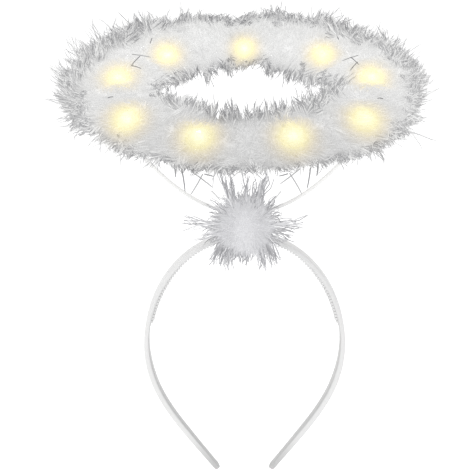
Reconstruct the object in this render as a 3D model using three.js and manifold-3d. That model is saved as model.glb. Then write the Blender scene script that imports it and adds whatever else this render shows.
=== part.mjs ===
// Light-up angel headband: a comb band, a bowed wire, a ring of down with lamps, and a puff of down.
// Millimetres, +Z up, front towards -Y. The origin is the inner face of the band at the crown, where it sits.
import * as THREE from "three";
import { mergeVertices } from "three/addons/utils/BufferGeometryUtils.js";
import Module from "manifold-3d";

const wasm = await Module();
wasm.setup();

const { degToRad, lerp, smoothstep } = THREE.MathUtils;

// Gap that neighbouring pieces keep, and the distance below which corners are one
const GAP = 0.3;
const SAME_CORNER = 1e-4;

// Headband: half an ellipse over the head, then two legs that turn in to the tips
const BAND_HALF_WIDTH = 66;
const BAND_CROWN_DROP = 76.9;
const BAND_THICKNESS = 3.3;
const BAND_DEPTH = 10;
const BAND_TIP_DEPTH = 6.6;
const BAND_TIP_THICKNESS = 3;
const BAND_CHAMFER = 0.7;
const BAND_STEPS = 58;
const BAND_TIP_SIDES = 16;
const LEG_TIP_X = 19.4;
const LEG_TIP_DROP = 163.8;
const LEG_TIP_LEAN = degToRad(38.5);
const LEG_UPPER_PULL = 33.5;
const LEG_LOWER_PULL = 40;

// Comb: rows of teeth under the crown
const COMB_ROW_OFFSETS = [-2.4, 2.4];
const COMB_ROW_DEPTH = 1.7;
const COMB_HALF_SWEEP = degToRad(78);
const COMB_TEETH = 86;
const COMB_ROOT = 0.7;
const COMB_ROOT_STRIDE = 4;
const TOOTH_HEIGHT = 1;
const TOOTH_VALLEY = 0.3;

// Wire: a parabola that dips to the crown, with its ends in the underside of the ring
const WIRE_RADIUS = 1.25;
const WIRE_LOW_POINT = 16;
const WIRE_RISE = 0.009;
const WIRE_END_X = 93;
const WIRE_SIDES = 8;
const WIRE_STEPS = 30;

// Saddle that holds the wire on the crown
const SADDLE_HALF_LENGTH = 9;
const SADDLE_TOP = 20;
const SADDLE_BOTTOM = -4;
const SADDLE_CORNER = 3;
const SADDLE_CORNER_STEPS = 4;

// Ring of down: a flat core with rows of locks
const RING_RADIUS = 82;
const RING_CENTRE_Z = 97.2;
const RING_TILT = degToRad(10.8);
const RING_CORE_HALF_WIDTH = 25;
const RING_CORE_HALF_HEIGHT = 9.5;
const RING_CORE_SIDES = 10;
const RING_CORE_STEPS = 40;
const RING_BACK_FULLNESS = 0.6;
// side: place round the section in degrees, 0 outwards and 90 up
// sway: most lean along the ring in degrees
const RING_LOCK_ROWS = [
  { side: 0, count: 26, length: 10, halfWidth: 11, sway: 24 },
  { side: 28, count: 25, length: 10, halfWidth: 10, sway: 24 },
  { side: -28, count: 25, length: 9, halfWidth: 10, sway: 24 },
  { side: 68, count: 14, length: 6, halfWidth: 10, sway: 34 },
  { side: -68, count: 14, length: 5, halfWidth: 10, sway: 34 },
  { side: 114, count: 11, length: 5, halfWidth: 10, sway: 34 },
  { side: -114, count: 11, length: 6, halfWidth: 10, sway: 34 },
  { side: 155, count: 14, length: 8, halfWidth: 9, sway: 22 },
  { side: -155, count: 14, length: 10, halfWidth: 9, sway: 22 },
  { side: 180, count: 14, length: 10, halfWidth: 9, sway: 22 },
];

// Lamps: in a plane that leans less than the ring
// turn: place round the ring in degrees, 0 at the back; reach: distance from the ring's middle
const LAMP_PLACES = [
  { turn: 0, reach: 74.5 },
  { turn: 40, reach: 78 },
  { turn: 79, reach: 80 },
  { turn: 127, reach: 87.5 },
  { turn: 161, reach: 83 },
  { turn: 199, reach: 83 },
  { turn: 233, reach: 87.5 },
  { turn: 281, reach: 80 },
  { turn: 320, reach: 78 },
];
const LAMP_SEAT_Z = 92.9;
const LAMP_TILT = degToRad(8.6);
const LAMP_RADIUS = 2.4;
const LAMP_FLANGE_RADIUS = 2.9;
const LAMP_FLANGE_HEIGHT = 0.9;
const LAMP_WALL_HEIGHT = 5;
const LAMP_SIDES = 10;
const LAMP_DOME_STEPS = 3;
const LAMP_POCKET_HEIGHT = 30;

// Puff: a ball of down, flat at the back, against the front of the crown
const PUFF_CENTRE = new THREE.Vector3(0, -14, 11.9);
const PUFF_BACK_Y = -BAND_DEPTH / 2 - GAP;
const PUFF_CORE_RADIUS = 13.5;
const PUFF_CORE_SIDES = 14;
const PUFF_CORE_RINGS = 10;
const PUFF_TRIM_WIDTH = 60;
// tilt: angle from the front in degrees; length: beyond the core
const PUFF_LOCK_ROWS = [
  { tilt: 0, count: 1, length: 5, halfWidth: 6 },
  { tilt: 32, count: 6, length: 5, halfWidth: 6 },
  { tilt: 62, count: 10, length: 5, halfWidth: 6 },
  { tilt: 88, count: 13, length: 6, halfWidth: 6 },
];
// clock: direction seen from the front in degrees, 0 to the right and 90 up; length: beyond the core
const PUFF_PLUMES = [
  { clock: 2, length: 23 },
  { clock: 40, length: 10 },
  { clock: 70, length: 21 },
  { clock: 110, length: 21 },
  { clock: 140, length: 10 },
  { clock: 178, length: 23 },
  { clock: 194, length: 14 },
  { clock: 226, length: 18 },
  { clock: 248, length: 17 },
  { clock: 292, length: 17 },
  { clock: 314, length: 18 },
  { clock: 346, length: 14 },
];
const PLUME_HALF_WIDTH = 4;

// Locks: flat pointed blades with their root sunk in the core
const LOCK_SIDES = 4;
const LOCK_FLATNESS = 0.5;
const LOCK_SINK = 3;
const LOCK_LENGTH_SPREAD = 0.35;
const LOCK_PLACE_SPREAD = 0.3;
const RING_SEED = 20;
const PUFF_SEED = 7;

const BAND_CENTRE_Z = BAND_THICKNESS - BAND_CROWN_DROP;
const BAND_TIP_Z = BAND_THICKNESS - LEG_TIP_DROP;

// A repeatable stream of numbers from 0 to 1
function seededRandom(seed) {
  let state = seed;
  return () => {
    state = (Math.imul(state, 1664525) + 1013904223) >>> 0;
    return state / 2 ** 32;
  };
}

// Closed geometry to a solid for joining and cutting
function toSolid(geometry) {
  const bare = geometry.clone();
  bare.deleteAttribute("normal");
  bare.deleteAttribute("uv");
  const merged = mergeVertices(bare, SAME_CORNER);
  const vertProperties = new Float32Array(merged.attributes.position.array);
  const triVerts = new Uint32Array(merged.index.array);
  return new wasm.Manifold(new wasm.Mesh({ numProp: 3, vertProperties, triVerts }));
}

// Solid back to a geometry that can be drawn
function toGeometry(solid) {
  const { vertProperties, triVerts } = solid.getMesh();
  const geometry = new THREE.BufferGeometry();
  geometry.setAttribute("position", new THREE.BufferAttribute(vertProperties, 3));
  geometry.setIndex(new THREE.BufferAttribute(triVerts, 1));
  geometry.computeVertexNormals();
  return geometry;
}

function joined(geometries) {
  return geometries.map(toSolid).reduce((whole, solid) => whole.add(solid));
}

function cut(solid, geometries) {
  return geometries.map(toSolid).reduce((rest, tool) => rest.subtract(tool), solid);
}

function namedMesh(name, geometry, material) {
  const mesh = new THREE.Mesh(geometry, material);
  mesh.name = name;
  return mesh;
}

// A group at a height on the middle line, its front tipped down
function tiltedGroup(height, tilt) {
  const group = new THREE.Group();
  group.position.z = height;
  group.rotation.x = tilt;
  group.updateMatrix();
  return group;
}

function outline(points) {
  return new THREE.Shape(points.map(([x, y]) => new THREE.Vector2(x, y)));
}

// An outline in X and Z, made solid across the band
function plate(shape, depth, curveSegments) {
  const geometry = new THREE.ExtrudeGeometry(shape, { depth, curveSegments, bevelEnabled: false });
  return geometry.translate(0, 0, -depth / 2).rotateX(Math.PI / 2);
}

// Middle line of the band in X and Z, from the left tip over the crown to the right tip
function bandMiddleLine() {
  const sideX = BAND_HALF_WIDTH - BAND_THICKNESS / 2;
  const crownRise = BAND_CROWN_DROP - BAND_THICKNESS / 2;
  const bendZ = BAND_CENTRE_Z - LEG_UPPER_PULL;
  const pullX = LEG_TIP_X + LEG_LOWER_PULL * Math.sin(LEG_TIP_LEAN);
  const pullZ = BAND_TIP_Z + LEG_LOWER_PULL * Math.cos(LEG_TIP_LEAN);
  const line = new THREE.Path();
  line.moveTo(-LEG_TIP_X, BAND_TIP_Z);
  line.bezierCurveTo(-pullX, pullZ, -sideX, bendZ, -sideX, BAND_CENTRE_Z);
  line.absellipse(0, BAND_CENTRE_Z, sideX, crownRise, Math.PI, 0, true);
  line.bezierCurveTo(sideX, bendZ, pullX, pullZ, LEG_TIP_X, BAND_TIP_Z);
  return line;
}

// The bar of the band, which narrows from front to back along the legs
function bandBar(line) {
  const x = BAND_DEPTH / 2;
  const y = BAND_THICKNESS / 2;
  const innerX = x - BAND_CHAMFER;
  const innerY = y - BAND_CHAMFER;
  const section = outline([
    [innerX, y],
    [-innerX, y],
    [-x, innerY],
    [-x, -innerY],
    [-innerX, -y],
    [innerX, -y],
    [x, -innerY],
    [x, innerY],
  ]);
  const places = line.getSpacedPoints(BAND_STEPS).map((p) => new THREE.Vector3(p.x, 0, p.y));
  const extrudePath = new THREE.CatmullRomCurve3(places);
  const bar = new THREE.ExtrudeGeometry(section, { steps: BAND_STEPS, extrudePath });
  const position = bar.attributes.position;
  for (let i = 0; i < position.count; i += 1) {
    const legShare = smoothstep(-position.getZ(i), -BAND_CENTRE_Z, -BAND_TIP_Z);
    position.setY(i, position.getY(i) * lerp(1, BAND_TIP_DEPTH / BAND_DEPTH, legShare));
  }
  return bar;
}

// Round end of a leg: a disc that lies in the band
function bandTip(line, share) {
  const place = line.getPointAt(share);
  const along = line.getTangentAt(share);
  const radius = BAND_TIP_DEPTH / 2;
  const lie = new THREE.Matrix4().makeBasis(
    new THREE.Vector3(along.x, 0, along.y),
    new THREE.Vector3(-along.y, 0, along.x),
    new THREE.Vector3(0, -1, 0),
  );
  lie.setPosition(place.x, 0, place.y);
  return new THREE.CylinderGeometry(radius, radius, BAND_TIP_THICKNESS, BAND_TIP_SIDES).applyMatrix4(lie);
}

// One row of comb teeth along the inner face, from temple to temple
function combRow(offset) {
  const arc = new THREE.EllipseCurve(
    0,
    BAND_CENTRE_Z,
    BAND_HALF_WIDTH - BAND_THICKNESS,
    BAND_CROWN_DROP - BAND_THICKNESS,
    Math.PI / 2 + COMB_HALF_SWEEP,
    Math.PI / 2 - COMB_HALF_SWEEP,
    true,
  );
  const halfTeeth = 2 * COMB_TEETH;
  const teeth = [];
  const root = [];
  for (let i = 0; i <= halfTeeth; i += 1) {
    const place = arc.getPointAt(i / halfTeeth);
    const along = arc.getTangentAt(i / halfTeeth);
    const inward = new THREE.Vector2(along.y, -along.x);
    const height = i % 2 === 1 ? TOOTH_HEIGHT : TOOTH_VALLEY;
    teeth.push(place.clone().addScaledVector(inward, height));
    if (i % COMB_ROOT_STRIDE === 0) {
      root.push(place.clone().addScaledVector(inward, -COMB_ROOT));
    }
  }
  return plate(new THREE.Shape([...teeth, ...root.reverse()]), COMB_ROW_DEPTH).translate(0, offset, 0);
}

function makeHeadband(material) {
  const line = bandMiddleLine();
  const pieces = [bandBar(line), bandTip(line, 0), bandTip(line, 1), ...COMB_ROW_OFFSETS.map(combRow)];
  return namedMesh("headband", toGeometry(joined(pieces)), material);
}

// The bowed wire, or with a wider radius and longer ends the space that it needs
function bowedRod(radius, endX) {
  const endZ = WIRE_LOW_POINT + WIRE_RISE * endX ** 2;
  const extrudePath = new THREE.QuadraticBezierCurve3(
    new THREE.Vector3(-endX, 0, endZ),
    new THREE.Vector3(0, 0, 2 * WIRE_LOW_POINT - endZ),
    new THREE.Vector3(endX, 0, endZ),
  );
  const corners = Array.from({ length: WIRE_SIDES }, (_, i) => {
    const turn = (2 * Math.PI * i) / WIRE_SIDES;
    return [radius * Math.cos(turn), radius * Math.sin(turn)];
  });
  return new THREE.ExtrudeGeometry(outline(corners), { steps: WIRE_STEPS, extrudePath });
}

function wireSpace() {
  return bowedRod(WIRE_RADIUS + GAP, WIRE_END_X + GAP);
}

function makeWire(material) {
  return namedMesh("bow_wire", bowedRod(WIRE_RADIUS, WIRE_END_X), material);
}

// Block with round upper corners, its foot curved to the band and the wire run through it
function makeSaddle(material) {
  const x = SADDLE_HALF_LENGTH;
  const shape = new THREE.Shape();
  shape.moveTo(-x, SADDLE_BOTTOM);
  shape.lineTo(x, SADDLE_BOTTOM);
  shape.lineTo(x, SADDLE_TOP - SADDLE_CORNER);
  shape.absarc(x - SADDLE_CORNER, SADDLE_TOP - SADDLE_CORNER, SADDLE_CORNER, 0, Math.PI / 2);
  shape.absarc(-x + SADDLE_CORNER, SADDLE_TOP - SADDLE_CORNER, SADDLE_CORNER, Math.PI / 2, Math.PI);
  const bandSpace = new THREE.Shape();
  bandSpace.absellipse(0, BAND_CENTRE_Z, BAND_HALF_WIDTH + GAP, BAND_CROWN_DROP + GAP, 0, 2 * Math.PI);
  const block = toSolid(plate(shape, BAND_DEPTH, SADDLE_CORNER_STEPS));
  const saddle = cut(block, [plate(bandSpace, 2 * BAND_DEPTH, BAND_STEPS), wireSpace()]);
  return namedMesh("wire_saddle", toGeometry(saddle), material);
}

// A lock of down: root sunk below its place, tip along its direction, flat side along across
function lock(place, direction, across, length, halfWidth) {
  const height = length + LOCK_SINK;
  const blade = new THREE.ConeGeometry(halfWidth, height, LOCK_SIDES);
  blade.translate(0, height / 2 - LOCK_SINK, 0).scale(1, 1, LOCK_FLATNESS);
  const thick = across.clone().cross(direction).normalize();
  const wide = direction.clone().cross(thick);
  return blade.applyMatrix4(new THREE.Matrix4().makeBasis(wide, direction, thick).setPosition(place));
}

function ringLocks() {
  const random = seededRandom(RING_SEED);
  const spread = () => 2 * random() - 1;
  return RING_LOCK_ROWS.flatMap(({ side, count, length, halfWidth, sway }, row) =>
    Array.from({ length: count }, (_, i) => {
      const round = (2 * Math.PI * (i + (row % 2) / 2 + LOCK_PLACE_SPREAD * spread())) / count;
      const around = degToRad(side);
      const lean = degToRad(sway) * spread();
      const outward = new THREE.Vector3(Math.cos(round), Math.sin(round), 0);
      const forward = new THREE.Vector3(-Math.sin(round), Math.cos(round), 0);
      const place = outward.clone().multiplyScalar(RING_RADIUS + RING_CORE_HALF_WIDTH * Math.cos(around));
      place.z = RING_CORE_HALF_HEIGHT * Math.sin(around);
      const direction = outward.multiplyScalar(Math.cos(around)).setZ(Math.sin(around));
      direction.multiplyScalar(Math.cos(lean)).addScaledVector(forward, Math.sin(lean));
      const fullness = 1 + RING_BACK_FULLNESS * Math.sin(round) * Math.abs(Math.sin(around));
      const lockLength = length * fullness * (1 + LOCK_LENGTH_SPREAD * spread());
      return lock(place, direction, forward, lockLength, halfWidth);
    }),
  );
}

function lampPlaces() {
  return LAMP_PLACES.map(({ turn, reach }) => {
    const round = degToRad(turn);
    return new THREE.Vector3(Math.sin(round), Math.cos(round), 0).multiplyScalar(reach);
  });
}

function lampPocket(place) {
  const radius = LAMP_FLANGE_RADIUS + GAP;
  const pocket = new THREE.CylinderGeometry(radius, radius, LAMP_POCKET_HEIGHT, LAMP_SIDES);
  return pocket.rotateX(Math.PI / 2).translate(place.x, place.y, LAMP_POCKET_HEIGHT / 2 - GAP);
}

// The ring in its own frame, with room for the lamps and the wire's ends
function makeRing(ringFrame, lampFrame, material) {
  const core = new THREE.TorusGeometry(RING_RADIUS, RING_CORE_HALF_WIDTH, RING_CORE_SIDES, RING_CORE_STEPS);
  core.scale(1, 1, RING_CORE_HALF_HEIGHT / RING_CORE_HALF_WIDTH);
  const pockets = lampPlaces().map((place) => lampPocket(place).applyMatrix4(lampFrame));
  const toRing = ringFrame.clone().invert();
  const spaces = [wireSpace(), ...pockets].map((space) => space.applyMatrix4(toRing));
  return namedMesh("halo_down", toGeometry(cut(joined([core, ...ringLocks()]), spaces)), material);
}

function makeLamps(material) {
  const dome = Array.from({ length: LAMP_DOME_STEPS }, (_, i) => {
    const turn = (Math.PI * (i + 1)) / (2 * LAMP_DOME_STEPS);
    const x = i + 1 === LAMP_DOME_STEPS ? 0 : LAMP_RADIUS * Math.cos(turn);
    return new THREE.Vector2(x, LAMP_WALL_HEIGHT + LAMP_RADIUS * Math.sin(turn));
  });
  const profile = [
    new THREE.Vector2(0, 0),
    new THREE.Vector2(LAMP_FLANGE_RADIUS, 0),
    new THREE.Vector2(LAMP_FLANGE_RADIUS, LAMP_FLANGE_HEIGHT),
    new THREE.Vector2(LAMP_RADIUS, LAMP_FLANGE_HEIGHT),
    new THREE.Vector2(LAMP_RADIUS, LAMP_WALL_HEIGHT),
    ...dome,
  ];
  const geometry = new THREE.LatheGeometry(profile, LAMP_SIDES).rotateX(Math.PI / 2);
  return lampPlaces().map((place, i) => {
    const lamp = namedMesh(`lamp_${i + 1}`, geometry, material.clone());
    lamp.position.copy(place);
    return lamp;
  });
}

// Direction from the middle of the puff: tilt from the front, clock as seen from the front
function puffDirection(tilt, clock) {
  return new THREE.Vector3(
    Math.sin(tilt) * Math.cos(clock),
    -Math.cos(tilt),
    Math.sin(tilt) * Math.sin(clock),
  );
}

function makePuff(material) {
  const random = seededRandom(PUFF_SEED);
  const spread = () => 2 * random() - 1;
  const puffLock = (tilt, clock, length, halfWidth) => {
    const direction = puffDirection(degToRad(tilt), clock);
    const across = new THREE.Vector3(-Math.sin(clock), 0, Math.cos(clock));
    const place = direction.clone().multiplyScalar(PUFF_CORE_RADIUS);
    return lock(place, direction, across, length, halfWidth);
  };
  const locks = PUFF_LOCK_ROWS.flatMap(({ tilt, count, length, halfWidth }) =>
    Array.from({ length: count }, (_, i) => {
      const clock = (2 * Math.PI * (i + LOCK_PLACE_SPREAD * spread())) / count;
      return puffLock(tilt, clock, length * (1 + LOCK_LENGTH_SPREAD * spread()), halfWidth);
    }),
  );
  const plumes = PUFF_PLUMES.map(({ clock, length }) =>
    puffLock(90, degToRad(clock), length, PLUME_HALF_WIDTH),
  );
  const core = new THREE.SphereGeometry(PUFF_CORE_RADIUS, PUFF_CORE_SIDES, PUFF_CORE_RINGS);
  const back = new THREE.BoxGeometry(PUFF_TRIM_WIDTH, PUFF_CORE_RADIUS, PUFF_TRIM_WIDTH);
  back.translate(0, PUFF_BACK_Y - PUFF_CENTRE.y + PUFF_CORE_RADIUS / 2, 0);
  const down = cut(joined([core, ...locks, ...plumes]), [back]);
  const puff = namedMesh("crown_puff", toGeometry(down), material);
  puff.position.copy(PUFF_CENTRE);
  return puff;
}

const bandPlastic = new THREE.MeshStandardMaterial({ color: 0xf1f1ee, roughness: 0.42, metalness: 0 });
const saddlePlastic = new THREE.MeshStandardMaterial({ color: 0xeeeeea, roughness: 0.5, metalness: 0 });
const wireCoat = new THREE.MeshStandardMaterial({ color: 0xf6f6f4, roughness: 0.38, metalness: 0 });
const ringDown = new THREE.MeshStandardMaterial({ color: 0xf3f1ee, roughness: 0.95, metalness: 0 });
const puffDown = new THREE.MeshStandardMaterial({ color: 0xf1f1f2, roughness: 0.95, metalness: 0 });
const lampLens = new THREE.MeshStandardMaterial({
  color: 0xfff6d8,
  emissive: 0xffe9a8,
  roughness: 0.25,
  metalness: 0,
});

const ring = tiltedGroup(RING_CENTRE_Z, RING_TILT);
const lamps = tiltedGroup(LAMP_SEAT_Z, LAMP_TILT);
ring.add(makeRing(ring.matrix, lamps.matrix, ringDown));
lamps.add(...makeLamps(lampLens));

const angelHeadband = new THREE.Group();
angelHeadband.add(
  makeHeadband(bandPlastic),
  makeSaddle(saddlePlastic),
  makeWire(wireCoat),
  makePuff(puffDown),
  ring,
  lamps,
);

export default angelHeadband;
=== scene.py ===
import math
from typing import NamedTuple

import bmesh
import bpy
import numpy as np
from bpy.props import FloatProperty, FloatVectorProperty, IntProperty, PointerProperty
from mathutils import Matrix, Vector, noise


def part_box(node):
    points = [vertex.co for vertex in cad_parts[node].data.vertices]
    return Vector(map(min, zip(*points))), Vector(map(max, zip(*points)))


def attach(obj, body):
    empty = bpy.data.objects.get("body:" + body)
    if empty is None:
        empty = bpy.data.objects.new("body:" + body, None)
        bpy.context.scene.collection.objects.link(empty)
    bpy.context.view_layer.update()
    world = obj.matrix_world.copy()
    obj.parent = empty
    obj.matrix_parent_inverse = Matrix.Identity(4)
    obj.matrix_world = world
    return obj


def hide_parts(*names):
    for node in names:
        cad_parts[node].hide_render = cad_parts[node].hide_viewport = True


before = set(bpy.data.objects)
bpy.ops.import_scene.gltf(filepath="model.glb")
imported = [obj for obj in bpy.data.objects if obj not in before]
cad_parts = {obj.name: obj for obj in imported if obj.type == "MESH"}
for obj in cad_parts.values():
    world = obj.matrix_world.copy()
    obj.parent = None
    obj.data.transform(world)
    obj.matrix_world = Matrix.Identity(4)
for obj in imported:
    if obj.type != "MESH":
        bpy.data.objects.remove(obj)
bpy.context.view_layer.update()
BAND_LOW, BAND_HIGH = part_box("headband")
SADDLE_LOW, SADDLE_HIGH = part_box("wire_saddle")
_, PUFF_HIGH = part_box("crown_puff")
LAMP_NODES = sorted(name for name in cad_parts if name.startswith("lamp_"))

bl_info = {
    "name": "Light-up Angel Headband",
    "version": (1, 0, 0),
    "blender": (4, 5, 0),
    "location": "View3D > Sidebar > Angel Headband",
    "description": "Dresses the headband: moulded comb band, coated wire, marabou ring and puff, lit lamps",
    "category": "Object",
}

# A map in which every strand has a cell of its own
STRAND_MAP = "OFBake"
# Quarters of the ring in the order of their turns
QUARTERS = ("right_back", "left_back", "left_front", "right_front")


class Plume(NamedTuple):
    """A bundle of long strands on the puff: clock in degrees seen from the front, 90 up."""

    clock: float
    clock_end: float
    reach: float
    spread: float
    strands: int


class Fan(NamedTuple):
    """How long strands of the puff fan out: the spread of their lean, their tones of painted shade and their
    waves.
    """

    lean: float
    stations: int
    darkest: float
    dark_from: float
    dark_to: float
    wave: float


class Rim(NamedTuple):
    """A belt of tufts on the ring: its place round the section in degrees, its reach and its tones of painted
    shade.
    """

    tufts: int
    strands: int
    middle: float
    sway: float
    side_rise: float
    spread: float
    reach: float
    back_gain: float
    side_gain: float
    darkest: float
    lightest: float


class Quill(NamedTuple):
    """A bare quill on the ring, from one place to another: turn and around in degrees."""

    turn: float
    around: float
    turn_end: float
    around_end: float
    tone: float = 0.0


class Swell(NamedTuple):
    """A wave in the ring's down: waves along it, twist round its section, share of its height."""

    waves: int
    twist: int
    share: float


class Stop(NamedTuple):
    """How the down looks at a share of a lamp's glow: the tint on its colour and the light added to it."""

    glow: float
    tint: tuple
    light: tuple


class Wisp(NamedTuple):
    """A strand under the front of the ring: side and drop below the rim, at both ends."""

    side: float
    drop: float
    side_end: float
    drop_end: float
    tone: float


# Bundles on the right of the puff, which its left repeats: sideways, upwards and hanging
PUFF_PLUMES = (
    Plume(clock=1, clock_end=4, reach=0.0405, spread=8, strands=14),
    Plume(clock=-8, clock_end=-13, reach=0.0340, spread=7, strands=12),
    Plume(clock=20, clock_end=18, reach=0.0260, spread=9, strands=9),
    Plume(clock=34, clock_end=36, reach=0.0285, spread=8, strands=12),
    Plume(clock=57, clock_end=69, reach=0.0430, spread=7, strands=13),
    Plume(clock=62, clock_end=72, reach=0.0350, spread=8, strands=13),
    Plume(clock=80, clock_end=80, reach=0.0270, spread=9, strands=6),
    Plume(clock=87, clock_end=90, reach=0.0370, spread=4, strands=4),
    Plume(clock=-28, clock_end=-27, reach=0.0255, spread=9, strands=10),
    Plume(clock=-12, clock_end=-49, reach=0.0335, spread=7, strands=20),
    Plume(clock=-30, clock_end=-57, reach=0.0310, spread=7, strands=15),
    Plume(clock=-42, clock_end=-67, reach=0.0320, spread=6, strands=20),
    Plume(clock=-70, clock_end=-88, reach=0.0265, spread=9, strands=16),
)

RIM_FAN = Fan(lean=0.25, stations=5, darkest=0.05, dark_from=0.1, dark_to=0.7, wave=0.0012)
PLUME_FAN = Fan(lean=0.22, stations=6, darkest=0.1, dark_from=0, dark_to=0.5, wave=0.0013)

# Outer fringe, its longest strands, inner fringe, underside and soft tufts on top; their ends grey with
# painted shade
RING_RIMS = (
    Rim(tufts=1050, strands=15, middle=0, sway=50, side_rise=20, spread=16,
        reach=0.90, back_gain=0.18, side_gain=-0.06, darkest=0.0, lightest=0.42),
    Rim(tufts=190, strands=4, middle=0, sway=45, side_rise=15, spread=14,
        reach=1.3, back_gain=0.1, side_gain=0.16, darkest=0.1, lightest=0.6),
    Rim(tufts=430, strands=12, middle=180, sway=30, side_rise=0, spread=18,
        reach=1.05, back_gain=0.05, side_gain=-0.18, darkest=0.0, lightest=0.28),
    Rim(tufts=260, strands=9, middle=-48, sway=12, side_rise=0, spread=24,
        reach=0.75, back_gain=0.2, side_gain=0, darkest=0.3, lightest=0.8),
    Rim(tufts=240, strands=8, middle=90, sway=0, side_rise=0, spread=100,
        reach=0.7, back_gain=0.15, side_gain=0, darkest=0.7, lightest=0.9),
)

# Quills on the left of the ring, which its right repeats
WHITE_QUILLS = (
    Quill(turn=120.5, around=64, turn_end=143, around_end=101),
    Quill(turn=153, around=109, turn_end=165, around_end=113),
    Quill(turn=163, around=171, turn_end=169, around_end=165),
    Quill(turn=203, around=128, turn_end=206, around_end=124),
)

DARK_QUILLS = (
    Quill(turn=167, around=105, turn_end=165, around_end=126, tone=0.25),
    Quill(turn=167.5, around=114, turn_end=177.5, around_end=109),
    Quill(turn=175, around=110, turn_end=180.5, around_end=122),
    Quill(turn=165, around=176, turn_end=169, around_end=168),
    Quill(turn=208, around=73, turn_end=209, around_end=78),
    Quill(turn=142.5, around=101, turn_end=145.5, around_end=104),
)

RING_SWELLS = (
    Swell(waves=6, twist=1, share=0.07),
    Swell(waves=14, twist=-1, share=0.09),
    Swell(waves=25, twist=2, share=0.06),
)

# Wisps on the right of the ring, which its left repeats
RING_WISPS = (
    Wisp(side=0.0367, drop=0.001, side_end=0.0347, drop_end=0.0155, tone=0.1),
    Wisp(side=0.0410, drop=0.001, side_end=0.0402, drop_end=0.0085, tone=0.15),
    Wisp(side=0.0307, drop=0.002, side_end=0.0187, drop_end=0.0115, tone=0.35),
    Wisp(side=0.0245, drop=0.003, side_end=0.0317, drop_end=0.0155, tone=0.35),
    Wisp(side=0.0237, drop=0.003, side_end=0.0182, drop_end=0.0045, tone=0.15),
    Wisp(side=0.0197, drop=0.0125, side_end=0.0146, drop_end=0.0185, tone=0.6),
)

GLOW_STOPS = (
    Stop(glow=0.0, tint=(1, 1, 1), light=(0, 0, 0)),
    Stop(glow=0.08, tint=(1, 0.97, 0.91), light=(0.03, 0.023, 0.01)),
    Stop(glow=0.24, tint=(1, 0.945, 0.81), light=(0.11, 0.095, 0.05)),
    Stop(glow=0.53, tint=(1, 0.94, 0.66), light=(0.22, 0.205, 0.12)),
    Stop(glow=0.85, tint=(1, 0.96, 0.69), light=(0.29, 0.29, 0.20)),
    Stop(glow=1.0, tint=(1, 1, 0.82), light=(0.33, 0.33, 0.27)),
)


# Settings


def length(name, description, metres):
    return FloatProperty(name=name, description=description, default=metres, unit="LENGTH", precision=4)


def angle(name, description, degrees):
    return FloatProperty(name=name, description=description, default=math.radians(degrees), subtype="ANGLE")


def share(name, description, default):
    return FloatProperty(name=name, description=description, default=default, subtype="FACTOR")


def number(name, description, default, kind="NONE"):
    return FloatProperty(name=name, description=description, default=default, unit=kind)


def amount(name, description, default):
    return IntProperty(name=name, description=description, default=default, min=0)


def colour(name, description, default):
    return FloatVectorProperty(
        name=name, description=description, default=default, subtype="COLOR", size=3, min=0, max=1
    )


class StageSettings(bpy.types.PropertyGroup):
    """Camera, floor and light."""

    elevation: angle("Elevation", "Height of the camera's view over the level", 17)
    distance: length("Distance", "From the camera to the crown", 0.985)
    side: length("Side", "Sideways place of the camera and of what it looks at", -0.0063)
    height: length("Height", "Height of what the camera looks at", 0.0013)
    lens: number("Lens", "Focal length in millimetres", 117.2, "CAMERA")
    floor_drop: length("Floor drop", "From the tips of the band down to the floor", 0.05)
    floor_radius: length("Floor radius", "Radius of the round floor", 9.0)
    floor_colour: colour("Floor", "Colour of the floor", (0.93, 0.93, 0.93))
    floor_light: share("Floor light", "Even light of the floor, which keeps it white", 0.22)
    sky: number("Sky", "Strength of the even white light", 0.95)
    key_power: number("Key", "Power of the soft key light", 5.0, "POWER")
    top_power: number("Top", "Power of the soft top light", 4.0, "POWER")


class BandSettings(bpy.types.PropertyGroup):
    """The moulded band and its comb."""

    half_width: length("Half width", "From the middle to the outside", BAND_HIGH.x)
    thickness: length("Thickness", "Through the band at the crown", BAND_HIGH.z)
    depth: length("Depth", "From front to back at the crown", BAND_HIGH.y - BAND_LOW.y)
    crown_drop: length("Crown drop", "From the crown to the widest place", 0.0769)
    tip_depth: length("Tip depth", "From front to back at the tips", 0.0066)
    tip_side: length("Tip side", "From the middle to a tip", 0.0194)
    tip_drop: length("Tip drop", "From the crown to the tips' round ends", 0.1638)
    tip_lean: angle("Tip lean", "Lean of the tips from upright", 38.5)
    upper_pull: length("Upper pull", "Stretch over which the legs leave the arc", 0.0335)
    lower_pull: length("Lower pull", "Stretch over which the legs straighten to the tips", 0.040)
    leg_fullness: length("Leg fullness", "How much the legs are thicker than the crown, inwards", 0.0008)
    outer_edge: length("Edge", "Radius of the moulded edges", 0.0011)
    comb_reach: length("Comb reach", "From the crown to the last tooth along the band", 0.095)
    teeth: amount("Teeth", "Teeth in each row", 86)
    row_offset: length("Row offset", "From the middle of the band to a row of teeth", 0.0024)
    tooth_height: length("Tooth height", "Height of the teeth over the inner face", 0.0020)
    comb_fade: length("Comb fade", "Stretch over which the last teeth grow shorter", 0.004)
    tooth_root: length("Tooth root", "How far the teeth reach into the band", 0.0006)
    # Painted shade: the tips darken over this stretch
    dark_tips: length("Dark tips", "Stretch over which the tips darken", 0.036)
    colour: colour("Colour", "White of the moulded plastic", (0.71, 0.71, 0.71))
    # Grey of the painted shade on the inner face and the tips
    inner_colour: colour("Inner colour", "Grey of the inner face and of the tips", (0.44, 0.44, 0.44))


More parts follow.
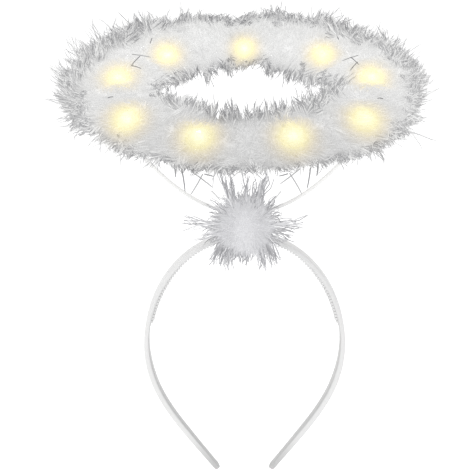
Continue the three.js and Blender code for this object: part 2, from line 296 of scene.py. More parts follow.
class WireSettings(bpy.types.PropertyGroup):
    """The bowed wire and the block that holds it."""

    radius: length("Radius", "Radius over the coat", 0.00125)
    low_point: length("Low point", "Height of the wire at the crown", 0.016)
    end_side: length("End side", "From the middle to an end", 0.093)
    rise: number("Rise", "Height gained for each squared metre sideways", 9.0)
    saddle_corner: length("Saddle corner", "Radius of the block's upper corners", 0.003)
    saddle_edge: length("Saddle edge", "Radius of the block's other edges", 0.0006)
    gap: length("Gap", "Between the block and the band", 0.0003)
    colour: colour("Colour", "White of the coat", (0.94, 0.94, 0.93))
    # Painted shade: grey of the coat where it turns away from the view
    edge_colour: colour("Edge colour", "Grey of the coat where it turns away", (0.64, 0.64, 0.64))


class RingSettings(bpy.types.PropertyGroup):
    """The ring of down."""

    radius: length("Radius", "Radius of the middle line", 0.082)
    centre: length("Height", "Height of the ring's middle", 0.0972)
    tilt: angle("Tilt", "Lean of the ring, its front lower", 10.8)
    core_width: length("Core half width", "Half width of the dense core", 0.0235)
    core_height: length("Core half height", "Half height of the dense core", 0.0088)
    outer_width: length("Outer reach", "From the middle line to the outer edge of the down", 0.0350)
    inner_width: length("Inner reach", "From the middle line to the inner edge of the down", 0.0305)
    down_height: length("Down half height", "From the middle line to the top of the down", 0.0132)
    fullness: share("Back fullness", "How much fuller the back is than the middle", 0.24)
    tufts_long: amount("Tufts along", "Tufts along the ring", 96)
    tufts_round: amount("Tufts round", "Tufts round the section", 15)
    body_strands: amount("Body strands", "Short strands in each quarter", 8700)
    left_gain: share("Left gain", "How much longer tufts are that point left, and the others shorter", 0.22)
    pinch: length("Pinch", "How much the ring widens inwards beside its front and back", 0.0065)
    inner_lift: length("Inner lift", "How far the inner rim's tufts rise in front and hang behind", 0.0080)
    droop: length("Droop", "How far the outer rim's tufts hang in front", 0.0040)
    side_lift: length("Side lift", "How far the outer rim's tufts rise at the sides", 0.0070)
    back_lift: length("Back lift", "How far they rise between the sides and the back", 0.0035)
    tuft_width: length("Tuft width", "Half width of a long strand at its root", 0.00026)
    strand_width: length("Strand width", "Half width of a strand at its root", 0.00023)
    glow_reach: length("Glow reach", "How far to the side a lamp lights the down", 0.0080)
    glow_throw: length("Glow throw", "How far forwards a lamp's light shows in the down", 0.028)
    glow_rise: angle("Glow rise", "Rise of the light that shows, from the level", 17)
    seed: amount("Seed", "Start of the chance numbers", 11)
    light: colour("Light", "White of the down's body", (0.426, 0.426, 0.423))
    # Shade: the grey that the down's painted shade mixes in at tone 0
    shade: colour("Shade", "Grey of the down's ends", (0.112, 0.112, 0.118))
    quill: colour("Quill", "White of the bare quills", (0.95, 0.95, 0.94))
    # Painted light: the down glows with this share of its colour, standing in for light passed on inside it
    fill: number("Fill", "Light that the down passes on inside, for each share of its colour", 1.2)


class PuffSettings(bpy.types.PropertyGroup):
    """The puff of down on the crown."""

    front: length("Front", "From the crown to the puff's middle, forwards", 0.014)
    height: length("Height", "Height of the puff's middle", 0.0119)
    core_radius: length("Core radius", "Radius of the dense core", 0.0122)
    down_radius: length("Down radius", "Radius over the down", 0.0200)
    back: length("Back", "How far behind the crown's middle nothing reaches", PUFF_HIGH.y)
    tufts: amount("Tufts", "Tufts over the puff", 170)
    strands: amount("Strands", "Short strands of the puff", 6000)
    rim_strands: amount("Rim strands", "Longer strands round the puff's rim", 340)
    rim_reach: length("Rim reach", "From the puff's middle to the ends of the rim's strands", 0.0240)
    strand_width: length("Strand width", "Half width of a short strand at its root", 0.00022)
    plume_width: length("Plume width", "Half width of a long strand at its root", 0.00040)
    seed: amount("Seed", "Start of the chance numbers", 5)
    light: colour("Light", "White of the puff's middle", (0.402, 0.402, 0.410))
    # Shade: the grey that the puff's painted shade mixes in at tone 0
    shade: colour("Shade", "Grey of the puff's ends", (0.125, 0.125, 0.132))
    # Painted light: the puff glows with this share of its colour, standing in for light passed on inside it
    fill: number("Fill", "Light that the down passes on inside, for each share of its colour", 1.2)


class LampSettings(bpy.types.PropertyGroup):
    """The lamps in the ring."""

    tilt: angle("Tilt", "Lean of the lamps, their front lower", 8.6)
    radius: length("Radius", "Radius of the lens", 0.0024)
    flange: length("Flange", "Radius of the rim under the lens", 0.0029)
    flange_height: length("Flange height", "Height of the rim", 0.0009)
    flange_slope: length("Flange slope", "Rise of the rim's top from its edge to the lens", 0.00018)
    wall: length("Wall", "Height of the lens's straight side", 0.005)
    power: number("Power", "Strength of the lens's light", 1.0)
    colour: colour("Colour", "Warm white of the lens", (1.0, 0.90, 0.62))


def smooth_step(low, high, value):
    t = np.clip((value - low) / (high - low), 0, 1)
    return t * t * (3 - 2 * t)


def blend(a, b, t):
    return a + (b - a) * t


def unit(vectors):
    return vectors / np.linalg.norm(vectors, axis=-1)[..., None]


# Pieces


def new_piece(mesh, material, slot, *nodes, smooth=True):
    """Links a finished mesh at the origin as a piece of the part that stands for these solids."""
    mesh.polygons.foreach_set("use_smooth", np.full(len(mesh.polygons), smooth))
    mesh.materials.append(material)
    piece = bpy.data.objects.new(mesh.name, mesh)
    bpy.context.scene.collection.objects.link(piece)
    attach(piece, "root")
    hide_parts(*nodes)


def to_mesh(bm, name):
    """Ends a bmesh: doubles merged, faces turned outwards."""
    bmesh.ops.remove_doubles(bm, verts=bm.verts[:], dist=1e-6)
    bmesh.ops.recalc_face_normals(bm, faces=bm.faces[:])
    mesh = bpy.data.meshes.new(name)
    bm.to_mesh(mesh)
    bm.free()
    return mesh


def all_geometry(bm):
    return bm.verts[:] + bm.edges[:] + bm.faces[:]


def round_edges(bm, edges, radius, segments):
    """Rounds edges of a solid shape."""
    bmesh.ops.bevel(
        bm, geom=edges, offset=radius, affect="EDGES", segments=segments, profile=0.5, material=-1
    )


def spin_round(bm, steps):
    """Turns an outline all the way round the Z axis."""
    outline, whole = bm.verts[:] + bm.edges[:], 2 * math.pi
    bmesh.ops.spin(
        bm, geom=outline, cent=(0, 0, 0), axis=(0, 0, 1), angle=whole, steps=steps, use_merge=True
    )


def cut_across(bm, places):
    """Cuts a straight bar into lengths at these places along X."""
    for place in places:
        bmesh.ops.bisect_plane(bm, geom=all_geometry(bm), plane_co=(place, 0, 0), plane_no=(1, 0, 0))


def places_of(vertices):
    return np.array([v.co for v in vertices])


def move_points(bm, mover):
    """Moves every vertex by a function of an array of points."""
    for vertex, place in zip(bm.verts, mover(places_of(bm.verts))):
        vertex.co = place


def shade_points(bm, shade):
    """Gives every vertex its share of shade, by a function of an array of points."""
    layer = bm.verts.layers.float.new("shade")
    for vertex, value in zip(bm.verts, shade(places_of(bm.verts))):
        vertex[layer] = value


def lumps(points, scale):
    """Uneven heights of a soft surface, in three layers of which each is half as wide as the last."""
    return np.array([noise.fractal(Vector(p) * scale, 1.0, 2.0, 3) for p in points])


def line_run(line):
    """Distance of each point of a line from its middle, along it."""
    steps = np.linalg.norm(np.diff(line, axis=0), axis=1)
    run = np.concatenate(([0], np.cumsum(steps)))
    return run - run[-1] / 2


def bend_along(points, line):
    """Bends a straight bar onto a line in X and Z: x runs along the line and z stands off from it."""
    run = line_run(line)
    slope = np.gradient(line, run, axis=0)
    x, y, z = points.T
    place = np.column_stack([np.interp(x, run, column) for column in line.T])
    along = unit(np.column_stack([np.interp(x, run, column) for column in slope.T]))
    return np.column_stack((place[:, 0] - along[:, 1] * z, y, place[:, 1] + along[:, 0] * z))


# Strands of down

# A strand's cell of the map: the triangle of its root below, and its sides over that
CELL_ROOT = ((0.1, 0.02), (0.9, 0.02), (0.5, 0.07))
CELL_LOW = np.array((0.1, 0.1))
CELL_SIZE = np.array((0.8, 0.85))
# How far towards the tip a strand keeps its width, and how closely its stations crowd there
BLUNTNESS = 5
TIP_DENSITY = 1.7
# Where on its way a strand's middle point lies, and thinnest strands as a share of the full width
MIDWAY = 0.55
THINNEST = 0.7
# Slope from which a strand counts as upright, and a length that is next to nothing
STEEP = 0.8
TINY = 1e-12
# Share and tones of the strands that are nearly white
WHITE_SHARE = 0.35
WHITE_TONES = (0.7, 1.0)


def needle_pattern(stations):
    """Triangles of one closed three-sided needle, and their places in its cell of the map."""
    faces, cells = [(0, 2, 1)], [CELL_ROOT]
    last = stations - 2

    def place(side, station):
        return CELL_LOW + CELL_SIZE * (side / 3, station / (stations - 1))

    for side in range(3):
        after = (side + 1) % 3
        for station in range(last):
            low, low_after = 3 * station + side, 3 * station + after
            faces.append((low, low_after, low_after + 3))
            cells.append((place(side, station), place(side + 1, station), place(side + 1, station + 1)))
            faces.append((low, low_after + 3, low + 3))
            cells.append((place(side, station), place(side + 1, station + 1), place(side, station + 1)))
        faces.append((3 * last + side, 3 * last + after, 3 * last + 3))
        cells.append((place(side, last), place(side + 1, last), place(side + 0.5, last + 1)))
    return np.array(faces), np.array(cells)


class Strands(NamedTuple):
    """Strands of down: lines (strands, stations, 3), half widths at the root, tones (strands, stations)."""

    lines: np.ndarray
    widths: np.ndarray
    tones: np.ndarray

    def pick(self, chosen):
        return Strands(self.lines[chosen], self.widths[chosen], self.tones[chosen])


def strand_points(strands):
    """Corner points of closed needles round the strands' lines, three to a station and one at the tip."""
    lines = strands.lines
    along = np.gradient(lines, axis=1)
    along /= np.linalg.norm(along, axis=2)[..., None] + TINY
    upright = np.abs(along[:, :1, 2:]) > STEEP
    helper = np.where(upright, (1.0, 0.0, 0.0), (0.0, 0.0, 1.0))
    side = np.cross(along, np.broadcast_to(helper, along.shape))
    side /= np.linalg.norm(side, axis=2)[..., None] + TINY
    other = np.cross(along, side)
    stations = lines.shape[1]
    taper = 1 - (np.arange(stations - 1) / (stations - 1)) ** BLUNTNESS
    width = strands.widths[:, None] * taper
    turns = 2 * np.pi * np.arange(3) / 3
    ring = np.cos(turns)[:, None] * side[:, :-1, None] + np.sin(turns)[:, None] * other[:, :-1, None]
    corners = lines[:, :-1, None] + width[..., None, None] * ring
    return np.concatenate((corners.reshape(len(lines), -1, 3), lines[:, -1:]), axis=1)


def strand_mesh(name, groups, glow):
    """One mesh of all these strands, with tone and glow for each point and a map cell for each strand."""
    total = sum(len(group.lines) for group in groups)
    columns = math.ceil(math.sqrt(total))
    points, corners, cells, tones = [], [], [], []
    made, first = 0, 0
    for group in groups:
        count, stations, _ = group.lines.shape
        faces, places = needle_pattern(stations)
        solid = strand_points(group)
        start = first + np.arange(count) * solid.shape[1]
        corners.append((start[:, None, None] + faces).ravel())
        order = made + np.arange(count)
        cell = np.column_stack((order % columns, order // columns))
        cells.append(((cell[:, None, None] + places) / columns).reshape(-1, 2))
        tone = np.repeat(group.tones[:, :-1], 3, axis=1)
        tones.append(np.concatenate((tone, group.tones[:, -1:]), axis=1).ravel())
        points.append(solid.reshape(-1, 3))
        made += count
        first += count * solid.shape[1]
    points, corners = np.concatenate(points), np.concatenate(corners)
    mesh = bpy.data.meshes.new(name)
    mesh.vertices.add(len(points))
    mesh.vertices.foreach_set("co", points.astype(np.float32).ravel())
    mesh.loops.add(len(corners))
    mesh.loops.foreach_set("vertex_index", corners.astype(np.int32))
    mesh.polygons.add(len(corners) // 3)
    mesh.polygons.foreach_set("loop_start", np.arange(0, len(corners), 3, dtype=np.int32))
    mesh.uv_layers.new(name=STRAND_MAP)
    mesh.uv_layers[STRAND_MAP].data.foreach_set("uv", np.concatenate(cells).astype(np.float32).ravel())
    mesh.update(calc_edges=True)
    store(mesh, "tone", np.concatenate(tones))
    store(mesh, "glow", glow(points))
    return mesh


def store(mesh, name, values):
    """Keeps a value for each point of a mesh, for its material."""
    attribute = mesh.attributes.new(name, "FLOAT", "POINT")
    attribute.data.foreach_set("value", values.astype(np.float32))


def wavy(lines, random, size):
    """Strand lines bent to and fro, more towards their tips."""
    return lines + random.normal(0, size, lines.shape) * np.linspace(0, 1, lines.shape[1])[:, None]


def split_tone(random, count, darkest, lightest):
    """Tones of mixed strands: most of them in this range of painted shade and some nearly white."""
    nearly_white = random.uniform(0, 1, count) < WHITE_SHARE
    white, mixed = random.uniform(*WHITE_TONES, count), random.uniform(darkest, lightest, count)
    return np.where(nearly_white, white, mixed)


def fade(root, tips, start, end, stations):
    """Tones along strands, from the root's to each tip's, over a stretch given in shares of their length."""
    return blend(root, tips[:, None], smooth_step(start, end, np.linspace(0, 1, stations)))


def uneven_widths(random, width, count, thickest):
    """Half widths of strands, from thin ones to this share of the full width."""
    return width * random.uniform(THINNEST, thickest, count)


def mostly_short(random, shape, shortest, longer, skew):
    """Lengths by chance, more of them near the shortest than near the longest."""
    return shortest + longer * random.beta(*skew, shape)


def even_strands(lines, widths, tones):
    """Strands that keep one tone each from root to tip."""
    return Strands(lines, widths, np.repeat(tones[:, None], lines.shape[1], axis=1))


def curved_lines(root, middle, tip, stations):
    """Strand lines that leave the root towards the middle point and end at the tip, denser there."""
    t = 1 - (1 - np.linspace(0, 1, stations)[:, None]) ** TIP_DENSITY
    return (1 - t) ** 2 * root[:, None] + 2 * (1 - t) * t * middle[:, None] + t**2 * tip[:, None]


# Materials


class Paint:
    """Adds nodes to a shader tree."""

    def __init__(self, tree):
        self.nodes, self.links = tree.nodes, tree.links

    def set(self, socket, value):
        """Links a socket to another node's output, or gives it a plain number or colour."""
        if isinstance(value, bpy.types.NodeSocket):
            self.links.new(value, socket)
        else:
            socket.default_value = (*value, 1) if socket.type == "RGBA" else value

    def feed(self, node, **values):
        """Sets a node's inputs, whose names have an underscore for each space."""
        for name, value in values.items():
            self.set(node.inputs[name.replace("_", " ")], value)

    def add(self, kind, output, **values):
        """Adds a node with these inputs and returns one of its outputs."""
        node = self.nodes.new(f"ShaderNode{kind}")
        self.feed(node, **values)
        return node.outputs[output]

    def noise(self, scale, detail):
        """Soft patches on the piece's own coordinates."""
        place = self.add("TexCoord", "Object")
        return self.add("TexNoise", "Fac", Vector=place, Scale=scale, Detail=detail)

    def span(self, value, low, high):
        """Maps a value from 0 to 1 onto a range."""
        return self.add("MapRange", "Result", Value=value, To_Min=low, To_Max=high)

    def attribute(self, name):
        """The mesh's own value at each point."""
        reader = self.nodes.new("ShaderNodeAttribute")
        reader.attribute_name = name
        return reader.outputs["Fac"]

    def mix(self, factor, a, b, mode="MIX"):
        """Mixes two colours."""
        mixed = self.nodes.new("ShaderNodeMix")
        mixed.data_type = "RGBA"
        mixed.blend_type = mode
        sockets = (mixed.inputs["Factor"], *(s for s in mixed.inputs if s.type == "RGBA"))
        for socket, value in zip(sockets, (factor, a, b)):
            self.set(socket, value)
        return next(s for s in mixed.outputs if s.type == "RGBA")

    def ramp(self, value, stops):
        """A colour for each value, from stops of place and colour."""
        ramp = self.nodes.new("ShaderNodeValToRGB")
        elements = ramp.color_ramp.elements
        while len(elements) < len(stops):
            elements.new(0.5)
        for element, (place, tint) in zip(elements, stops):
            element.position = place
            element.color = (*tint, 1)
        self.set(ramp.inputs["Fac"], value)
        return ramp.outputs["Color"]

    def shared(self, maker, **values):
        """Places the node group that this function makes, made once, with these inputs."""
        placed = self.nodes.new("ShaderNodeGroup")
        placed.node_tree = bpy.data.node_groups.get(maker.__name__) or maker(maker.__name__)
        self.feed(placed, **values)
        return placed.outputs


def new_group(name, inputs, outputs):
    """An empty shader node group with these sockets; returns it, what it is given and its last node."""
    group = bpy.data.node_groups.new(name, "ShaderNodeTree")
    for side, sockets in (("INPUT", inputs), ("OUTPUT", outputs)):
        for label, kind in sockets.items():
            group.interface.new_socket(name=label, in_out=side, socket_type=f"NodeSocket{kind}")
    return group, group.nodes.new("NodeGroupInput").outputs, group.nodes.new("NodeGroupOutput")


def down_fibre(name):
    """Colour and roughness of down from its tone, painted shade included, with soft patches and a fine fleck.
    """
    group, given, result = new_group(
        name,
        {"Tone": "Float", "Shade": "Color", "Light": "Color", "Patch scale": "Float"},
        {"Colour": "Color", "Roughness": "Float"},
    )
    paint = Paint(group)
    patchy = paint.span(paint.noise(given["Patch scale"], detail=3.0), 0.94, 1.04)
    fleck = paint.noise(scale=1400.0, detail=2.0)
    base = paint.mix(given["Tone"], given["Shade"], given["Light"])
    softened = paint.mix(patchy, (0.62, 0.62, 0.64), base)
    paint.feed(result, Colour=softened, Roughness=paint.span(fleck, 0.78, 1.0))
    return group


def moulded_grain(name):
    """Moulded plastic: a clouded colour, an uneven gloss and the height of a fine grain."""
    group, given, result = new_group(
        name,
        {"Colour": "Color", "Grain scale": "Float"},
        {"Colour": "Color", "Roughness": "Float", "Height": "Float"},
    )
    paint = Paint(group)
    cloud = paint.noise(scale=60.0, detail=3.0)
    dulled = paint.mix(paint.span(cloud, 0.0, 0.10), given["Colour"], (0.6, 0.6, 0.6))
    gloss = paint.span(cloud, 0.30, 0.48)
    grain = paint.noise(given["Grain scale"], detail=4.0)
    paint.feed(result, Colour=dulled, Roughness=gloss, Height=grain)
    return group


def new_material(name):
    """A material; returns it, the paint for its nodes and its shader."""
    material = bpy.data.materials.new(name)
    material.use_nodes = True
    tree = material.node_tree
    return material, Paint(tree), tree.nodes["Principled BSDF"]


def down_material(name, down, patch_scale):
    """Matte down with the tone of each strand, warm and bright beside the lamps, and with painted light: it
    glows with a share of its own colour.
    """
    material, paint, shader = new_material(name)
    tone, glow = paint.attribute("tone"), paint.attribute("glow")
    fibre = paint.shared(
        down_fibre, Tone=tone, Light=down.light, Shade=down.shade, Patch_scale=patch_scale
    )
    warm = paint.ramp(glow, [(stop.glow, stop.tint) for stop in GLOW_STOPS])
    lit = paint.ramp(glow, [(stop.glow, stop.light) for stop in GLOW_STOPS])
    tinted = paint.mix(1.0, fibre["Colour"], warm, "MULTIPLY")
    # Painted light: an even glow of the down's own colour
    painted_inner_glow = paint.mix(1.0, tinted, (down.fill,) * 3, "MULTIPLY")
    paint.feed(
        shader,
        Base_Color=tinted,
        Roughness=fibre["Roughness"],
        Specular_IOR_Level=0.15,
        Emission_Color=paint.mix(1.0, painted_inner_glow, lit, "ADD"),
        Emission_Strength=1.0,
    )
    return material


def plastic_material(name, tint, grain_scale, bump, shaded_tint=None, edge_shade_tint=None):
    """White moulded plastic with a fine grain, with painted shade: another tint where it is shaded or turns
    away.
    """
    material, paint, shader = new_material(name)
    # Painted shade: the mesh's shade share mixes in the shaded tint
    if shaded_tint:
        tint = paint.mix(paint.attribute("shade"), tint, shaded_tint)
    # Painted shade: the edge tint where the surface turns away from the view
    if edge_shade_tint:
        tint = paint.mix(paint.add("LayerWeight", "Facing"), tint, edge_shade_tint)
    grain = paint.shared(moulded_grain, Colour=tint, Grain_scale=grain_scale)
    relief = paint.add("Bump", "Normal", Strength=bump, Distance=0.0001, Height=grain["Height"])
    paint.feed(shader, Base_Color=grain["Colour"], Roughness=grain["Roughness"], Normal=relief)
    return material


def lens_material(lamp):
    """Lit lens, clouded between warm and white."""
    material, paint, shader = new_material("warm_lens")
    light = paint.mix(paint.noise(scale=260.0, detail=2.0), lamp.colour, (1.0, 0.98, 0.86))
    paint.feed(
        shader, Base_Color=light, Roughness=0.2, Emission_Color=light, Emission_Strength=lamp.power
    )
    return material


def floor_material(stage):
    """Pale floor with an even light of its own."""
    material, paint, shader = new_material("pale_floor")
    paler = [1.02 * channel for channel in stage.floor_colour]
    paint.feed(
        shader,
        Base_Color=paint.mix(paint.noise(scale=3.0, detail=2.0), stage.floor_colour, paler),
        Roughness=0.9,
        Specular_IOR_Level=0.0,
        Emission_Color=(1, 1, 1),
        Emission_Strength=stage.floor_light,
    )
    return material


# Headband

# Points in each half of the arc and in each leg, and cuts along the bar and in each round end
LINE_POINTS = 160
BAR_CUTS = 170
TIP_CUTS = 8
# Angle of the last cut in a round end
LAST_TIP_CUT = 1.45
# Places along half of the band, as shares of its length from the crown to a tip
NARROWS_FROM = 0.45
FULLER_FROM = 0.47
FULLEST_FROM = 0.62
FULLEST_TO = 0.82
# The round ends stop short of a point, and this share of their rounding is in their thickness too
TIP_STOP = 0.985
TIP_THINNING = 0.45
# Heights between which the painted shade of the inner face sets in, as shares of the band's thickness
INNER_SHADE = (-0.26, -0.47)
# Shares of the painted shade on legs and tips, and over the comb, and half the stretch between these
LEG_SHADE = 0.9
COMB_SHADE = 0.45
COMB_SHADE_EDGE = 0.01
# Shares of the teeth's height at the comb's ends and at the crown, and where the crown's teeth grow
END_TOOTH = 0.2
CROWN_TOOTH = 0.5
CROWN_TEETH = (0.3, 0.75)
# Widths of a tooth, as shares of the pitch
TOOTH_FOOT = 0.66
TOOTH_TIP = 0.36


def cubic_line(start, start_pull, end_pull, end, count):
    """Points of a curve that leaves its start towards one pull and comes to its end from the other."""
    t = np.linspace(0, 1, count)[:, None]
    return (
        (1 - t) ** 3 * start
        + 3 * (1 - t) ** 2 * t * start_pull
        + 3 * (1 - t) * t**2 * end_pull
        + t**3 * end
    )


def band_line(band):
    """Middle line of the band in X and Z, from the end of the left tip to the end of the right one."""
    side = band.half_width - band.thickness / 2
    rise = band.crown_drop - band.thickness / 2
    centre = band.thickness - band.crown_drop
    lean = np.array((math.sin(band.tip_lean), math.cos(band.tip_lean)))
    tip = np.array((band.tip_side, band.thickness - band.tip_drop))
    widest = np.array((side, centre))
    leg = cubic_line(widest, widest - (0, band.upper_pull), tip + band.lower_pull * lean, tip, LINE_POINTS)
    end = tip - lean * band.tip_depth / 2
    turn = np.linspace(np.pi / 2, 0, LINE_POINTS)
    arc = np.column_stack((side * np.cos(turn), centre + rise * np.sin(turn)))
    right = np.vstack((arc, leg[1:], end))
    return np.vstack((right[:0:-1] * (-1, 1), right))


def band_shape(points, band, half_length):
    """Narrows a straight bar to its tips, rounds their ends and thickens its legs inwards."""
    x, y, z = points.T
    along = np.abs(x) / half_length
    leg = smooth_step(NARROWS_FROM, 1, along)
    fuller = smooth_step(FULLER_FROM, FULLEST_FROM, along) * smooth_step(1, FULLEST_TO, along)
    z = np.where(z < 0, z * (1 + fuller * 2 * band.leg_fullness / band.thickness), z)
    radius = band.tip_depth / 2
    beyond = np.clip((np.abs(x) - half_length + radius) / radius, 0, TIP_STOP)
    end = np.sqrt(1 - beyond**2)
    narrowed = blend(1, band.tip_depth / band.depth, leg) * end
    return np.column_stack((x, y * narrowed, z * blend(1, end, TIP_THINNING)))


def moulded_bar(band, half_length):
    """Straight bar with rounded edges, cut into short lengths."""
    bm = bmesh.new()
    size = Matrix.Diagonal((2 * half_length, band.depth, band.thickness, 1))
    bmesh.ops.create_cube(bm, size=1, matrix=size)
    round_edges(bm, [e for e in bm.edges if e.calc_length() > half_length], band.outer_edge, segments=4)
    radius = band.tip_depth / 2
    round_places = half_length - radius * (1 - np.sin(np.linspace(0, LAST_TIP_CUT, TIP_CUTS)))
    cut_across(bm, np.linspace(-half_length + radius, half_length - radius, BAR_CUTS))
    cut_across(bm, np.concatenate((round_places[1:], -round_places[1:])))
    return bm


def band_shade(points, band, half_length):
    """Share of painted shade on a straight bar: a strip inside, paler over the comb, and the tips."""
    x, _, z = points.T
    away = np.abs(x)
    inner = smooth_step(*INNER_SHADE, z / band.thickness)
    past_comb = smooth_step(band.comb_reach - COMB_SHADE_EDGE, band.comb_reach + COMB_SHADE_EDGE, away)
    inner *= blend(COMB_SHADE, 1, past_comb)
    tips = smooth_step(half_length - band.dark_tips, half_length, away)
    return np.maximum(blend(LEG_SHADE, 1, tips) * inner, LEG_SHADE * tips)


def comb_teeth(band):
    """Rows of blunt teeth under a straight bar, from temple to temple."""
    bm = bmesh.new()
    pitch = 2 * band.comb_reach / (band.teeth - 1)
    turned = Matrix.Rotation(math.pi, 4, "X") @ Matrix.Rotation(math.pi / 4, 4, "Z")
    for i in range(band.teeth):
        x = i * pitch - band.comb_reach
        height = band.tooth_height * min(1, END_TOOTH + (band.comb_reach - abs(x)) / band.comb_fade)
        height *= blend(CROWN_TOOTH, 1, smooth_step(*CROWN_TEETH, abs(x) / band.comb_reach))
        middle = (-band.thickness + band.tooth_root - height) / 2
        for row in (-1, 1):
            place = Matrix.Translation((x, row * band.row_offset, middle))
            bmesh.ops.create_cone(
                bm,
                cap_ends=True,
                segments=4,
                radius1=pitch * TOOTH_FOOT,
                radius2=pitch * TOOTH_TIP,
                depth=height + band.tooth_root,
                matrix=place @ turned,
            )
    return bm


class ANGEL_OT_headband(bpy.types.Operator):
    """Makes the moulded band and its comb teeth"""

    bl_idname = "angel.headband"
    bl_label = "Headband"

    def execute(self, context):
        band = context.scene.angel_band
        line = band_line(band)
        half_length = line_run(line)[-1]
        plastic = plastic_material(
            "band_plastic", band.colour, grain_scale=900.0, bump=0.25, shaded_tint=band.inner_colour
        )
        bar = moulded_bar(band, half_length)
        # Painted shade on the inner face, lighter over the comb, and on the tips
        shade_points(bar, lambda points: band_shade(points, band, half_length))
        move_points(bar, lambda points: bend_along(band_shape(points, band, half_length), line))
        new_piece(to_mesh(bar, "moulded_band"), plastic, "band_plastic", "headband")
        teeth = comb_teeth(band)
        move_points(teeth, lambda points: bend_along(points, line))
        new_piece(to_mesh(teeth, "comb_teeth"), plastic, "band_plastic", "headband", smooth=False)
        return {"FINISHED"}


# Wire and saddle

WIRE_POINTS = 241
WIRE_CUTS = 120
SADDLE_CUTS = 18
# Angle between faces from which an edge of the block counts as sharp
SHARP = math.radians(40)


def inner_places(low, high, count):
    """Places spread evenly between two ends, without the ends."""
    return np.linspace(low, high, count + 2)[1:-1]


def wire_shape(wire):
    """Coated wire, bowed up from the crown to both sides."""
    side = np.linspace(-wire.end_side, wire.end_side, WIRE_POINTS)
    line = np.column_stack((side, wire.low_point + wire.rise * side**2))
    half_length = line_run(line)[-1]
    bm = bmesh.new()
    bmesh.ops.create_cone(
        bm,
        cap_ends=True,
        segments=16,
        radius1=wire.radius,
        radius2=wire.radius,
        depth=2 * half_length,
        matrix=Matrix.Rotation(math.pi / 2, 4, "Y"),
    )
    round_edges(bm, [e for e in bm.edges if e.calc_length() < half_length], wire.radius / 3, segments=2)
    cut_across(bm, inner_places(-half_length, half_length, WIRE_CUTS))
    move_points(bm, lambda points: bend_along(points, line))
    return bm


def saddle_shape(band, wire):
    """Block with round upper corners, whose foot follows the band."""
    middle = (SADDLE_HIGH + SADDLE_LOW) / 2
    size = Matrix.Diagonal((*(SADDLE_HIGH - SADDLE_LOW), 1))
    bm = bmesh.new()
    bmesh.ops.create_cube(bm, size=1, matrix=Matrix.Translation(middle) @ size)

    def upper_corner(edge):
        """Whether an edge runs from front to back along the top."""
        a, b = (v.co for v in edge.verts)
        return min(a.z, b.z) > middle.z and abs(a.x - b.x) < 1e-6

    def seat(points):
        """Curves the foot to the band."""
        rim = np.sqrt(1 - (points[:, 0] / band.half_width) ** 2)
        foot = band.thickness - band.crown_drop + wire.gap + band.crown_drop * rim
        lift = np.where(points[:, 2] < middle.z, foot - SADDLE_LOW.z, 0)
        return points + lift[:, None] * (0, 0, 1)

    round_edges(bm, [e for e in bm.edges if upper_corner(e)], wire.saddle_corner, segments=6)
    round_edges(bm, [e for e in bm.edges if e.calc_face_angle(0) > SHARP], wire.saddle_edge, segments=3)
    cut_across(bm, inner_places(SADDLE_LOW.x, SADDLE_HIGH.x, SADDLE_CUTS))
    move_points(bm, seat)
    return bm


class ANGEL_OT_bow_wire(bpy.types.Operator):
    """Makes the coated wire that carries the ring"""

    bl_idname = "angel.bow_wire"
    bl_label = "Bow wire"

    def execute(self, context):
        wire = context.scene.angel_wire
        coat = plastic_material(
            "wire_coat", wire.colour, grain_scale=1600.0, bump=0.12, edge_shade_tint=wire.edge_colour
        )
        new_piece(to_mesh(wire_shape(wire), "coated_wire"), coat, "wire_coat", "bow_wire")
        return {"FINISHED"}


class ANGEL_OT_saddle(bpy.types.Operator):
    """Makes the block that holds the wire on the crown"""

    bl_idname = "angel.saddle"
    bl_label = "Wire saddle"

    def execute(self, context):
        band, wire = context.scene.angel_band, context.scene.angel_wire
        plastic = plastic_material("saddle_plastic", band.colour, grain_scale=1200.0, bump=0.35)
        block = to_mesh(saddle_shape(band, wire), "saddle_block")
        new_piece(block, plastic, "saddle_plastic", "wire_saddle")
        return {"FINISHED"}


# Ring of down

# Tone of the ring's body at its middle, and what its back and its sides add: painted light, which leaves
# painted shade in front
BODY_TONE = 0.80
BACK_PAINTED_LIGHT = 0.10
SIDE_PAINTED_LIGHT = 0.10
# Painted light that the rims' ends gain at the sides, and painted shade that greys them at the back
SIDE_RIM_LIGHT = 0.14
BACK_RIM_SHADE = 0.13
# How much farther the front lamps light the down than those at the sides
FRONT_GLOW = 0.16
# Where the swells start along the ring, and the share of them that shows in the width
SWELL_START = 1
SIDE_SWELL = 0.4
# Where roots and the core's skin lie, 0 at the edge of the core and 1 at the edge of the down
BODY_ROOT = -0.4
RIM_ROOT = -0.1
SKIN_PLACE = -0.35
# Height of the skin's lumps in the same measure, and how many of them lie in a metre
SKIN_LUMPS = 0.2
SKIN_SCALE = 60
# Reach of short strands on top, at the outer and inner sides, and what the front adds there
TOP_REACH = 0.75
SIDE_REACH = 0.3
FRONT_REACH = 0.25
# Short strands: how they gather in tufts, and their own lean along the ring and round it, in radians
BODY_GATHER = (0.1, 0.4)
BODY_LEAN = (0.03, 0.14)
# Shares of the tufts' length and tone that short strands take up
TUFT_LENGTH_SHARE = 0.4
TUFT_TONE_SHARE = 0.15
# Slopes between which the underside sets in, and how much painted shade greys it
UNDERSIDE = (0.1, 0.8)
UNDERSIDE_SHADE = 0.2
# Lean of a rim's tufts along the ring and round it, and spread of their strands, in radians
TUFT_LEAN = (0.038, 0.24)
STRAND_SPREAD = (0.018, 0.10)
# How much the strands of a tuft come together at their tips, and how far a tuft may leave its belt
GATHER = 0.55
FARTHEST = 1.8
# Lengths of a rim's strands in their tuft, the size of their waves, and where along them the painted shade
# sets in
RIM_LENGTHS = (0.5, 1.05)
RIM_WAVE = 0.0004
RIM_SHADES_IN = (0.1, 0.65)
RIM_STATIONS = 4
